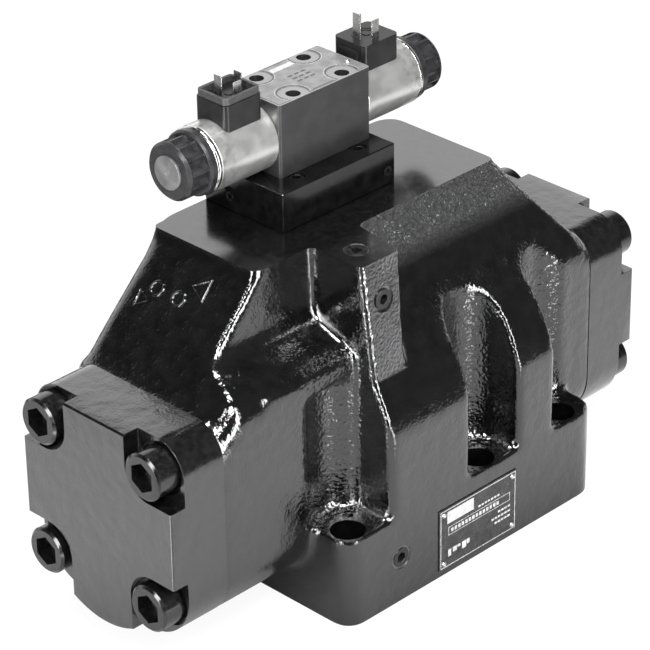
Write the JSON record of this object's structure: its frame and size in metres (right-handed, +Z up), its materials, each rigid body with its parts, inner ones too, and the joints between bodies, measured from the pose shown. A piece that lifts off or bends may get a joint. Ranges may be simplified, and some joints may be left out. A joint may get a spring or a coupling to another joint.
{
  "type": "proportional directional valve",
  "caption": "Pilot-operated proportional directional valve: cast spool housing with end covers, adapter plate and a double-solenoid pilot valve on top.",
  "frame": {"origin": "centre of the four corner mounting bolts, on the mounting face", "axes": "+X along the main spool, from cover A to cover B; +Z up, away from the mounting face; the nameplate faces -Y"},
  "size_m": [0.4161, 0.1884, 0.3218],
  "materials": {
    "cast_black": "gloss",
    "cover_black": "satin",
    "black_oxide": "gloss",
    "seal_rubber": "matte",
    "ground_steel": "polished",
    "spring_steel": "satin",
    "adapter_black": "gloss",
    "plug_black": "satin",
    "pilot_grey": "satin",
    "label_grey": "satin",
    "rivet_metal": "satin",
    "tube_steel": "satin",
    "coil_zinc": "satin",
    "winding_copper": "matte",
    "coil_ring": "polished",
    "nut_plastic": "satin",
    "connector_plastic": "matte",
    "blade_tin": "satin",
    "nameplate_dark": "satin"
  },
  "bodies": {
    "housing": {"adapter_block": "adapter_black", "adapter_plugs": "plug_black", "adapter_screws": "black_oxide", "adapter_seals": "seal_rubber", "base_plug": "plug_black", "coil_case_a": "coil_zinc", "coil_case_b": "coil_zinc", "coil_end_ring_a": "coil_ring", "coil_end_ring_b": "coil_ring", "coil_nut_a": "nut_plastic", "coil_nut_b": "nut_plastic", "coil_winding_a": "winding_copper", "coil_winding_b": "winding_copper", "connector_base_a": "connector_plastic", "connector_base_b": "connector_plastic", "connector_gasket_a": "seal_rubber", "contact_blades_a": "blade_tin", "contact_blades_b": "blade_tin", "cover_screws_a": "black_oxide", "cover_screws_b": "black_oxide", "cover_seal_a": "seal_rubber", "cover_seal_b": "seal_rubber", "end_cover_a": "cover_black", "end_cover_b": "cover_black", "main_body": "cast_black", "main_spring_a": "spring_steel", "main_spring_b": "spring_steel", "nameplate": "nameplate_dark", "nameplate_rivets": "rivet_metal", "pilot_body": "pilot_grey", "pilot_label": "label_grey", "pilot_label_rivets": "rivet_metal", "pilot_screws": "black_oxide", "pilot_seals": "seal_rubber", "pilot_spring_a": "spring_steel", "pilot_spring_b": "spring_steel", "pole_tube_a": "tube_steel", "pole_tube_b": "tube_steel", "port_seals": "seal_rubber", "tower_front_plug": "plug_black", "tower_top_plug": "plug_black"},
    "main_spool": {"main_spool": "ground_steel", "spring_plate_a": "ground_steel", "spring_plate_b": "ground_steel"},
    "pilot_spool": {"pilot_spool": "ground_steel", "pilot_spring_washer_a": "ground_steel", "pilot_spring_washer_b": "ground_steel"},
    "armature_a": {"armature_a": "ground_steel", "push_pin_a": "ground_steel"},
    "armature_b": {"armature_b": "ground_steel", "push_pin_b": "ground_steel"},
    "override_pin_a": {"override_pin_a": "ground_steel"},
    "override_pin_b": {"override_pin_b": "ground_steel"}
  },
  "joints": [
    {"name": "main_spool_slide", "type": "slide", "parent": "housing", "child": "main_spool", "axis": [1, 0, 0], "range_m": [-0.012, 0.012], "stiffness_N_per_m": 20000, "deforming": ["main_spring_a", "main_spring_b"]},
    {"name": "pilot_spool_slide", "type": "slide", "parent": "housing", "child": "pilot_spool", "axis": [1, 0, 0], "range_m": [-0.0025, 0.0025], "stiffness_N_per_m": 3000, "deforming": ["pilot_spring_a", "pilot_spring_b"]},
    {"name": "armature_a_slide", "type": "slide", "parent": "housing", "child": "armature_a", "axis": [1, 0, 0], "range_m": [-0.0025, 0.0025]},
    {"name": "armature_b_slide", "type": "slide", "parent": "housing", "child": "armature_b", "axis": [1, 0, 0], "range_m": [-0.0025, 0.0025]},
    {"name": "override_pin_a_slide", "type": "slide", "parent": "housing", "child": "override_pin_a", "axis": [1, 0, 0], "range_m": [0, 0.0025], "stiffness_N_per_m": 200},
    {"name": "override_pin_b_slide", "type": "slide", "parent": "housing", "child": "override_pin_b", "axis": [-1, 0, 0], "range_m": [0, 0.0025], "stiffness_N_per_m": 200}
  ],
  "couplings": [
    {"joint": "armature_a_slide", "follows": "pilot_spool_slide", "ratio": 1},
    {"joint": "armature_b_slide", "follows": "pilot_spool_slide", "ratio": 1}
  ]
}
